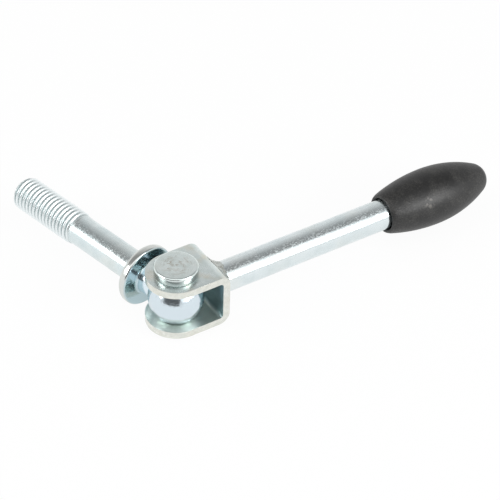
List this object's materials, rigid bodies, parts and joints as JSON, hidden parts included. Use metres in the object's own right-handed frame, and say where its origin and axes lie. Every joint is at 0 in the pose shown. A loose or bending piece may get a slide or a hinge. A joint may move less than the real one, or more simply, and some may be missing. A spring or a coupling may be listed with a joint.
{
  "type": "trailer jack handle",
  "caption": "Folding screw handle for a trailer jack clamp: a forged eye bolt with threaded stud and collar, riveted in a bent clevis welded to a bar with an oval grip.",
  "frame": {"origin": "on the stud's axis, where the full thread ends and the plain shank begins", "axes": "-X along the stud out of its tip, +X towards the eye, +Z along the rivet towards its turned head"},
  "size_m": [0.129, 0.1575, 0.0294],
  "materials": {
    "zinc_steel": "bright zinc plated",
    "black_plastic": "matt moulded"
  },
  "bodies": {
    "bolt": {"eye_bolt": "zinc_steel"},
    "handle": {"clevis": "zinc_steel", "hinge_pin": "zinc_steel", "handle_rod": "zinc_steel", "weld_bead": "zinc_steel", "grip": "black_plastic"}
  },
  "joints": [
    {"name": "handle_fold", "type": "hinge", "parent": "bolt", "child": "handle", "pos_m": [0.055, 0, 0], "axis": [0, 0, 1], "range_deg": [-181, 27]}
  ]
}
